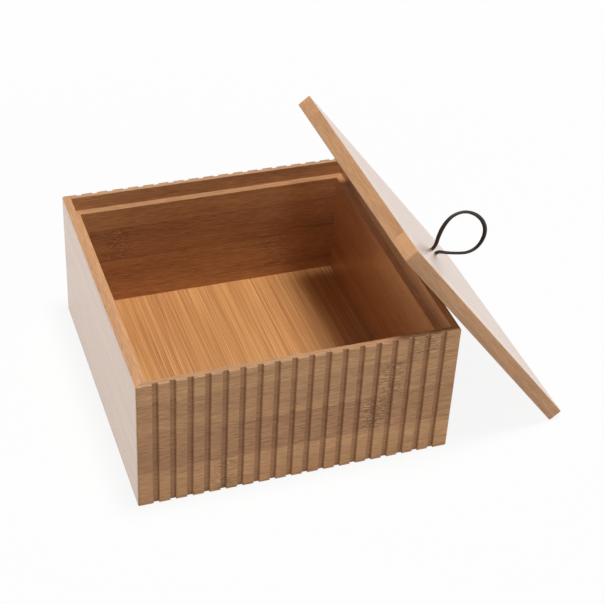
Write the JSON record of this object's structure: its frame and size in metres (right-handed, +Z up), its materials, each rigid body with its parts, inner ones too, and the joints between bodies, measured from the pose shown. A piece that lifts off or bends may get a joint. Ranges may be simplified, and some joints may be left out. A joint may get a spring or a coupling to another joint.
{
  "type": "storage box",
  "caption": "Square bamboo storage box with fluted front and back boards and a rebated rim, its flat lift-off lid with a leather cord loop leaning on one side.",
  "frame": {"origin": "centre of the box's underside, on the surface that it stands on", "axes": "+X to the right along the fluted front, +Y from the front to the back, +Z up"},
  "size_m": [0.2229, 0.1596, 0.1231],
  "materials": {
    "bamboo_fluted": "satin lacquer over caramel bamboo",
    "bamboo_plain": "satin lacquer over caramel bamboo",
    "bamboo_floor": "satin lacquer over caramel bamboo",
    "bamboo_lid": "satin lacquer over caramel bamboo",
    "bamboo_lid_under": "satin lacquer over caramel bamboo",
    "leather_cord": "smooth dark brown round cord"
  },
  "bodies": {
    "box": {"front_panel": "bamboo_fluted", "back_panel": "bamboo_fluted", "left_panel": "bamboo_plain", "right_panel": "bamboo_plain", "floor_panel": "bamboo_floor"},
    "lid": {"lid_top_ply": "bamboo_lid", "lid_under_ply": "bamboo_lid_under", "cord_loop": "leather_cord", "cord_leg_upper": "leather_cord", "cord_leg_lower": "leather_cord", "cord_knot": "leather_cord"}
  },
  "joints": [
    {"name": "lid_lift", "type": "slide", "parent": "box", "child": "lid", "axis": [0, 0, 1], "range_m": [0, 0.1]}
  ]
}
